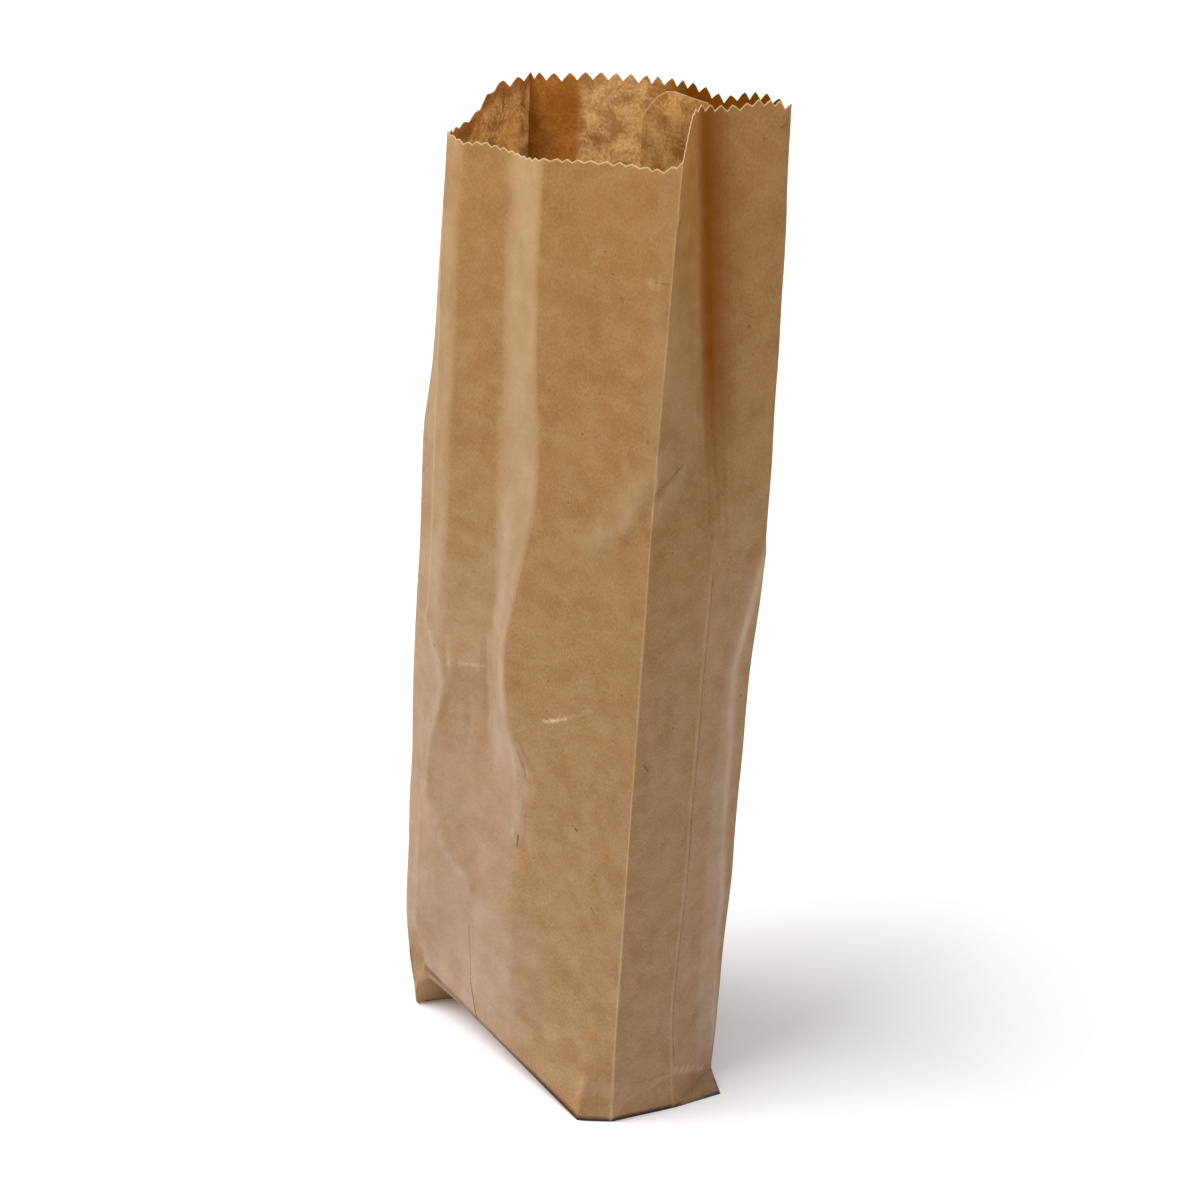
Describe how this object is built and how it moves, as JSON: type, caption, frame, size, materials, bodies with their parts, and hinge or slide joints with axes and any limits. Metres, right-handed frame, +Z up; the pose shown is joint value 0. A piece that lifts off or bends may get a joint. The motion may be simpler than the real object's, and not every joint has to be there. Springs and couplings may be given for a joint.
{
  "type": "paper wine bag",
  "caption": "Tall brown kraft paper bag for a bottle, open at the top, with folded side gussets, a pinked mouth and a flat folded bottom.",
  "frame": {"origin": "on the floor, under the middle of the bag's bounding box", "axes": "+Z up, towards the mouth; -Y out of the front panel; +X to the right when looking at the front panel"},
  "size_m": [0.1404, 0.0734, 0.406],
  "materials": {
    "kraft_paper": "matte"
  },
  "bodies": {
    "root": {"paper_bag": "kraft_paper"}
  },
  "joints": []
}
